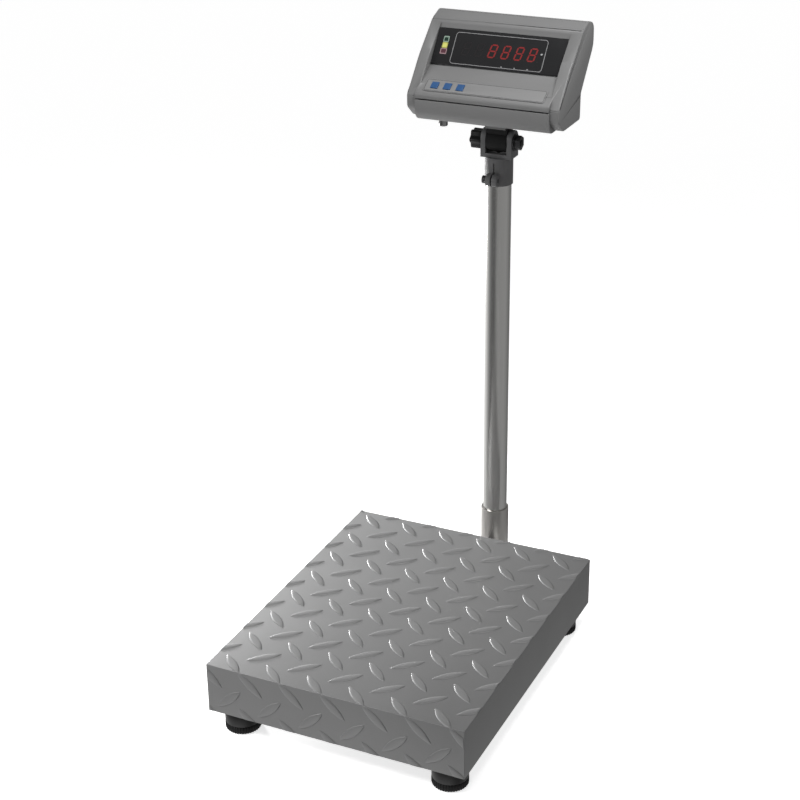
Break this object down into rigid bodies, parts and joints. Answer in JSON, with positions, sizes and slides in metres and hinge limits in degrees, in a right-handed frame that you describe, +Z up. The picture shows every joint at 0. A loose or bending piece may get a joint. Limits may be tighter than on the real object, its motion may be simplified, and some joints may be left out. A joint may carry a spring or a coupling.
{
  "type": "bench scale",
  "caption": "Platform bench scale: a checker-plate tray on a load-cell frame with levelling feet, a round column behind it, and a tilting indicator head with display, lamps and keys.",
  "frame": {"origin": "on the floor, under the middle of the whole object's box", "axes": "+X to the operator's right, +Y away from the operator, +Z up"},
  "size_m": [0.4, 0.6662, 0.9237],
  "materials": {
    "tray_paint": "satin",
    "frame_paint": "satin",
    "stainless": "brushed",
    "cast_paint": "satin",
    "bracket_paint": "satin",
    "case": "satin",
    "aluminium": "machined",
    "steel": "satin",
    "dark_steel": "satin",
    "black_plastic": "satin",
    "rubber": "matte",
    "window": "gloss",
    "digits": "gloss",
    "board": "satin",
    "lamp": "gloss",
    "key_blue": "satin",
    "strip": "satin",
    "battery": "satin"
  },
  "bodies": {
    "base": {"lower_frame": "frame_paint", "load_cell": "aluminium", "cell_spacer": "steel", "cell_bolt_lower_1": "steel", "cell_bolt_lower_2": "steel", "overload_stop_1": "steel", "overload_stop_2": "steel", "overload_stop_3": "steel", "overload_stop_4": "steel", "foot_jam_nut_1": "steel", "foot_jam_nut_2": "steel", "foot_jam_nut_3": "steel", "foot_jam_nut_4": "steel", "column_bracket": "frame_paint", "column_sleeve": "stainless", "sleeve_clamp_screw": "steel", "column_tube": "stainless"},
    "platform": {"upper_frame": "frame_paint", "cell_bolt_upper_1": "steel", "cell_bolt_upper_2": "steel", "tray_pad_1": "rubber", "tray_pad_2": "rubber", "tray_pad_3": "rubber", "tray_pad_4": "rubber"},
    "tray_pan": {"tray": "tray_paint"},
    "sole_1": {"foot_sole_1": "rubber"},
    "foot_1": {"foot_body_1": "black_plastic"},
    "sole_2": {"foot_sole_2": "rubber"},
    "foot_2": {"foot_body_2": "black_plastic"},
    "sole_3": {"foot_sole_3": "rubber"},
    "foot_3": {"foot_body_3": "black_plastic"},
    "sole_4": {"foot_sole_4": "rubber"},
    "foot_4": {"foot_body_4": "black_plastic"},
    "neck": {"neck_yoke": "cast_paint", "pinch_bolt": "dark_steel", "tilt_washer": "dark_steel", "tilt_nut": "dark_steel"},
    "knob": {"star_knob": "black_plastic"},
    "head": {"tilt_barrel": "black_plastic", "head_bracket": "bracket_paint", "bracket_screw_1": "steel", "bracket_screw_2": "steel", "rear_housing": "case", "front_housing": "case", "housing_screw_1": "steel", "housing_screw_2": "steel", "housing_screw_3": "steel", "housing_screw_4": "steel", "display_window": "window", "display_module": "digits", "status_lamps": "lamp", "keypad_strip": "strip", "battery": "battery", "main_board": "board", "cable_socket": "steel", "power_switch": "black_plastic"},
    "key_cap_1": {"key_1": "key_blue"},
    "key_cap_2": {"key_2": "key_blue"},
    "key_cap_3": {"key_3": "key_blue"},
    "rocker": {"switch_rocker": "black_plastic"}
  },
  "joints": [
    {"name": "load_cell_bend", "type": "slide", "parent": "base", "child": "platform", "axis": [0, 0, 1], "range_m": [-0.0004, 0], "stiffness_N_per_m": 3700000, "springref_m": 0.00003},
    {"name": "tray_lift_off", "type": "slide", "parent": "platform", "child": "tray_pan", "axis": [0, 0, 1], "range_m": [0, 0.1]},
    {"name": "foot_height_1", "type": "slide", "parent": "base", "child": "sole_1", "axis": [0, 0, 1], "range_m": [-0.012, 0]},
    {"name": "foot_turn_1", "type": "hinge", "parent": "sole_1", "child": "foot_1", "pos_m": [-0.164, -0.2974, 0.03], "axis": [0, 0, 1], "range_deg": [-2470, 0]},
    {"name": "foot_height_2", "type": "slide", "parent": "base", "child": "sole_2", "axis": [0, 0, 1], "range_m": [-0.012, 0]},
    {"name": "foot_turn_2", "type": "hinge", "parent": "sole_2", "child": "foot_2", "pos_m": [0.164, -0.2974, 0.03], "axis": [0, 0, 1], "range_deg": [-2470, 0]},
    {"name": "foot_height_3", "type": "slide", "parent": "base", "child": "sole_3", "axis": [0, 0, 1], "range_m": [-0.012, 0]},
    {"name": "foot_turn_3", "type": "hinge", "parent": "sole_3", "child": "foot_3", "pos_m": [-0.164, 0.1336, 0.03], "axis": [0, 0, 1], "range_deg": [-2470, 0]},
    {"name": "foot_height_4", "type": "slide", "parent": "base", "child": "sole_4", "axis": [0, 0, 1], "range_m": [-0.012, 0]},
    {"name": "foot_turn_4", "type": "hinge", "parent": "sole_4", "child": "foot_4", "pos_m": [0.164, 0.1336, 0.03], "axis": [0, 0, 1], "range_deg": [-2470, 0]},
    {"name": "column_turn", "type": "hinge", "parent": "base", "child": "neck", "pos_m": [0, 0.2631, 0.7], "axis": [0, 0, 1], "range_deg": [-165, 165]},
    {"name": "knob_turn", "type": "hinge", "parent": "neck", "child": "knob", "pos_m": [0, 0.2631, 0.744], "axis": [1, 0, 0], "range_deg": [-180, 180]},
    {"name": "head_tilt", "type": "hinge", "parent": "neck", "child": "head", "pos_m": [0, 0.2631, 0.744], "axis": [1, 0, 0], "range_deg": [-25, 50]},
    {"name": "key_press_1", "type": "slide", "parent": "head", "child": "key_cap_1", "axis": [0, 0.5105, -0.8599], "range_m": [0, 0.0008], "stiffness_N_per_m": 500, "springref_m": -0.0006},
    {"name": "key_press_2", "type": "slide", "parent": "head", "child": "key_cap_2", "axis": [0, 0.5105, -0.8599], "range_m": [0, 0.0008], "stiffness_N_per_m": 500, "springref_m": -0.0006},
    {"name": "key_press_3", "type": "slide", "parent": "head", "child": "key_cap_3", "axis": [0, 0.5105, -0.8599], "range_m": [0, 0.0008], "stiffness_N_per_m": 500, "springref_m": -0.0006},
    {"name": "switch_rock", "type": "hinge", "parent": "head", "child": "rocker", "pos_m": [0.07, 0.2825, 0.804], "axis": [0, 0, 1], "range_deg": [-10, 0]}
  ],
  "couplings": [
    {"joint": "foot_turn_1", "follows": "foot_height_1", "rad_per_m": 3590.4},
    {"joint": "foot_turn_2", "follows": "foot_height_2", "rad_per_m": 3590.4},
    {"joint": "foot_turn_3", "follows": "foot_height_3", "rad_per_m": 3590.4},
    {"joint": "foot_turn_4", "follows": "foot_height_4", "rad_per_m": 3590.4}
  ]
}
